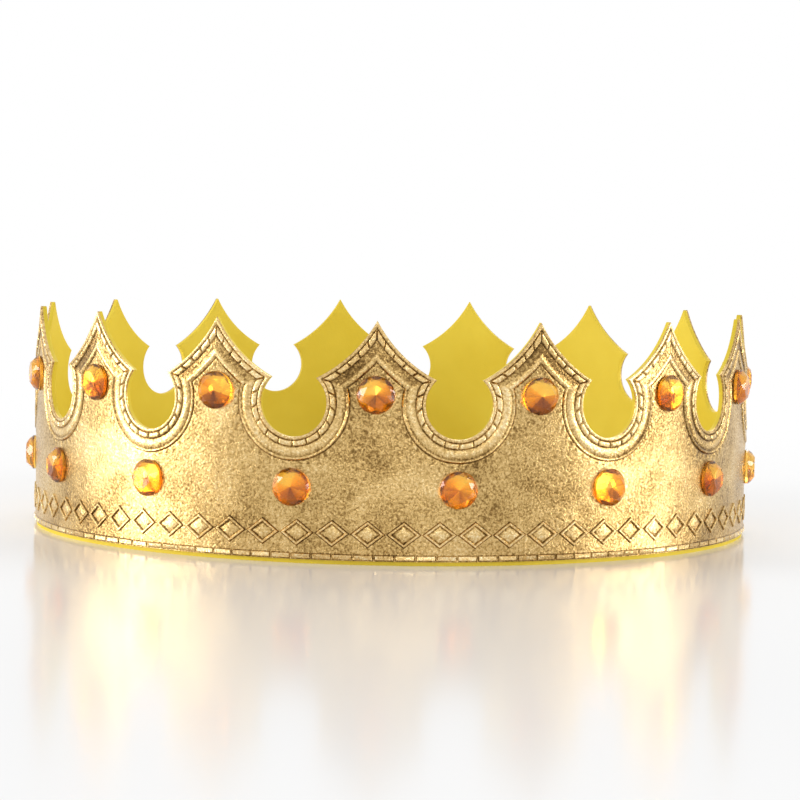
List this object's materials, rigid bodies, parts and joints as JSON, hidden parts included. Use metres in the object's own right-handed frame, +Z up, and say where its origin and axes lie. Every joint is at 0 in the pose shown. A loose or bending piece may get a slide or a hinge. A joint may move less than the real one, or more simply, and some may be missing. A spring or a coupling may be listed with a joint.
{
  "type": "crown",
  "caption": "Dress-up crown: a round foam hoop faced with embossed gold film, with a pointed upper edge, a raised border and glued amber stones.",
  "frame": {"origin": "centre of the hoop's lower edge circle, on the surface it stands on", "axes": "+Z up along the axis of the hoop; -Y towards the front point; the seam is at +Y"},
  "size_m": [0.1988, 0.1994, 0.059],
  "materials": {
    "foam": "matte closed-cell foam sheet",
    "gold_film": "metallic gold film, embossed with a fine wrinkled grain",
    "stone": "clear amber acrylic, faceted and polished",
    "tape": "woven hook and loop tape"
  },
  "bodies": {
    "root": {"foam_backing": "foam", "gold_face": "gold_film", "gem_top_01": "stone", "gem_top_02": "stone", "gem_top_03": "stone", "gem_top_04": "stone", "gem_top_05": "stone", "gem_top_06": "stone", "gem_top_07": "stone", "gem_top_08": "stone", "gem_top_09": "stone", "gem_top_10": "stone", "gem_top_11": "stone", "gem_top_12": "stone", "gem_top_13": "stone", "gem_top_14": "stone", "gem_top_15": "stone", "gem_low_01": "stone", "gem_low_02": "stone", "gem_low_03": "stone", "gem_low_04": "stone", "gem_low_05": "stone", "gem_low_06": "stone", "gem_low_07": "stone", "gem_low_08": "stone", "gem_low_09": "stone", "gem_low_10": "stone", "gem_low_11": "stone", "gem_low_12": "stone", "gem_low_13": "stone", "gem_low_14": "stone", "gem_low_15": "stone", "closure_hook_tape": "tape", "closure_loop_pad": "tape"}
  },
  "joints": []
}
